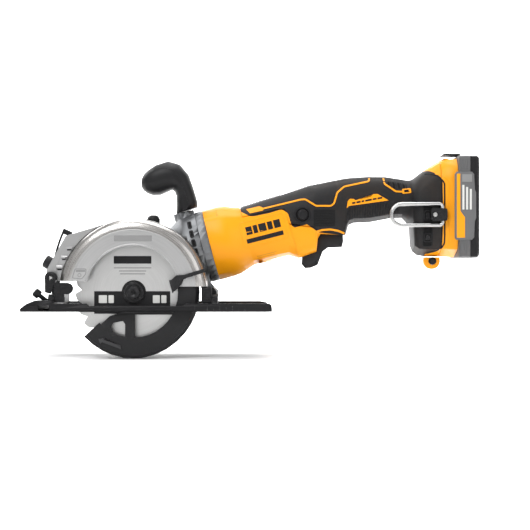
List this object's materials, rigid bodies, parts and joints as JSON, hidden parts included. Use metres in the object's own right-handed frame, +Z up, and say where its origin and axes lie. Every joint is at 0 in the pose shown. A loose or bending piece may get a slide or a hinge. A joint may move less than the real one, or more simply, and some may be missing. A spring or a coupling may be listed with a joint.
{
  "type": "cordless circular saw",
  "caption": "Compact cordless circular saw with a small blade on the left, tilting and depth-set shoe, swinging lower guard, arched grip, battery foot and folding hook",
  "frame": {"origin": "on the shoe's flat underside, level with the arbor along the saw and with the motor's middle across it", "axes": "+X runs from the front of the shoe to the battery, -Y points to the blade's side, +Z is up"},
  "size_m": [0.4446, 0.109, 0.2007],
  "materials": {
    "black_plastic": "black moulded",
    "bright_metal": "bright satin",
    "cast_metal": "cast, dull grey",
    "circuit_board": "green board, potted",
    "copper_winding": "wound copper and laminations",
    "dark_plastic": "dark grey moulded",
    "grey_plastic": "mid grey moulded",
    "steel": "machined",
    "yellow_plastic": "yellow moulded",
    "zinc": "bright zinc plated"
  },
  "bodies": {
    "saw_body": {"control_module": "circuit_board", "depth_bolt": "steel", "depth_pin": "steel", "end_bell": "black_plastic", "eyelet": "yellow_plastic", "eyelet_screw": "black_plastic", "front_arm": "bright_metal", "front_handle": "black_plastic", "gear_case": "cast_metal", "gear_cover": "cast_metal", "grip_left": "black_plastic", "grip_right": "black_plastic", "guard_retainer": "steel", "guard_spring": "steel", "handle_stud": "steel", "hook_plate": "black_plastic", "hook_screw": "steel", "housing_left": "yellow_plastic", "housing_right": "yellow_plastic", "housing_screw_foot": "steel", "housing_screw_grip": "steel", "layshaft_bearing_far": "steel", "layshaft_bearing_near": "steel", "motor_bearing_front": "steel", "motor_bearing_rear": "steel", "motor_ring": "cast_metal", "spindle_bearing_far": "steel", "spindle_bearing_near": "steel", "stator": "copper_winding", "switch_module": "black_plastic", "terminal_block": "black_plastic", "upper_guard": "bright_metal"},
    "spindle": {"spindle": "steel", "spindle_gear": "steel", "inner_flange": "steel", "blade": "bright_metal", "outer_flange": "dark_plastic", "blade_bolt": "steel"},
    "layshaft": {"layshaft": "steel", "bevel_gear": "steel"},
    "rotor": {"rotor_shaft": "steel", "rotor_core": "steel", "fan": "black_plastic"},
    "lower_guard": {"lower_guard": "dark_plastic", "guard_lever": "dark_plastic"},
    "trigger": {"trigger": "dark_plastic"},
    "lock_off": {"lock_off": "black_plastic"},
    "spindle_lock": {"spindle_lock": "black_plastic"},
    "battery": {"battery_case": "grey_plastic", "battery_back": "black_plastic", "battery_cells": "zinc"},
    "battery_button": {"battery_button": "black_plastic"},
    "depth_frame": {"front_bracket": "black_plastic", "rear_bracket": "black_plastic"},
    "shoe": {"shoe": "black_plastic"},
    "fence_screw": {"fence_screw": "black_plastic"},
    "depth_lever": {"depth_lever": "black_plastic"},
    "stop_knob": {"stop_knob": "black_plastic"},
    "hook": {"hook": "zinc"}
  },
  "joints": [
    {"name": "spindle_spin", "type": "hinge", "parent": "saw_body", "child": "spindle", "pos_m": [0, -0.04, 0.0184], "axis": [0, 1, 0], "continuous": true},
    {"name": "layshaft_spin", "type": "hinge", "parent": "saw_body", "child": "layshaft", "pos_m": [0.00714, -0.01, 0.04754], "axis": [0, 1, 0], "continuous": true},
    {"name": "rotor_spin", "type": "hinge", "parent": "saw_body", "child": "rotor", "pos_m": [0.0735, 0, 0.0647], "axis": [0.9681, 0, 0.2504], "continuous": true},
    {"name": "lower_guard_swing", "type": "hinge", "parent": "saw_body", "child": "lower_guard", "pos_m": [0, -0.044, 0.0184], "axis": [0, -1, 0], "range_deg": [0, 110], "stiffness_Nm_per_rad": 0.08, "springref_deg": -51.57},
    {"name": "trigger_pull", "type": "slide", "parent": "saw_body", "child": "trigger", "axis": [0, 0, 1], "range_m": [0, 0.005], "stiffness_N_per_m": 800, "springref_m": -0.003},
    {"name": "lock_off_push", "type": "slide", "parent": "saw_body", "child": "lock_off", "axis": [0, 1, 0], "range_m": [0, 0.002], "stiffness_N_per_m": 800, "springref_m": -0.002},
    {"name": "spindle_lock_press", "type": "slide", "parent": "saw_body", "child": "spindle_lock", "axis": [0, 0, -1], "range_m": [0, 0.004], "stiffness_N_per_m": 800, "springref_m": -0.003},
    {"name": "battery_release", "type": "slide", "parent": "saw_body", "child": "battery", "axis": [0, 0, 1], "range_m": [0, 0.1]},
    {"name": "battery_button_press", "type": "slide", "parent": "battery", "child": "battery_button", "axis": [0, 0, -1], "range_m": [0, 0.0015], "stiffness_N_per_m": 800, "springref_m": -0.002},
    {"name": "depth_pivot", "type": "hinge", "parent": "saw_body", "child": "depth_frame", "pos_m": [0.0728, -0.016, 0.0168], "axis": [0, -1, 0], "range_deg": [0, 15]},
    {"name": "bevel_tilt", "type": "hinge", "parent": "depth_frame", "child": "shoe", "pos_m": [0, -0.057, 0.0115], "axis": [-1, 0, 0], "range_deg": [0, 45]},
    {"name": "fence_screw_turn", "type": "hinge", "parent": "shoe", "child": "fence_screw", "pos_m": [-0.084, -0.05, 0.0104], "axis": [-0.7894, 0, 0.6139], "continuous": true},
    {"name": "depth_lever_swing", "type": "hinge", "parent": "saw_body", "child": "depth_lever", "pos_m": [-0.079, -0.053, 0.0325], "axis": [0, 1, 0], "range_deg": [0, 45]},
    {"name": "stop_knob_turn", "type": "hinge", "parent": "saw_body", "child": "stop_knob", "pos_m": [-0.0809, -0.037, 0.0455], "axis": [-0.8718, 0, 0.4899], "continuous": true},
    {"name": "hook_swing", "type": "hinge", "parent": "saw_body", "child": "hook", "pos_m": [0.301, -0.0334, 0.0942], "axis": [0, 0, 1], "range_deg": [0, 100]}
  ],
  "couplings": [
    {"joint": "layshaft_spin", "follows": "spindle_spin", "ratio": -0.76471},
    {"joint": "rotor_spin", "follows": "spindle_spin", "ratio": -1.7206}
  ]
}
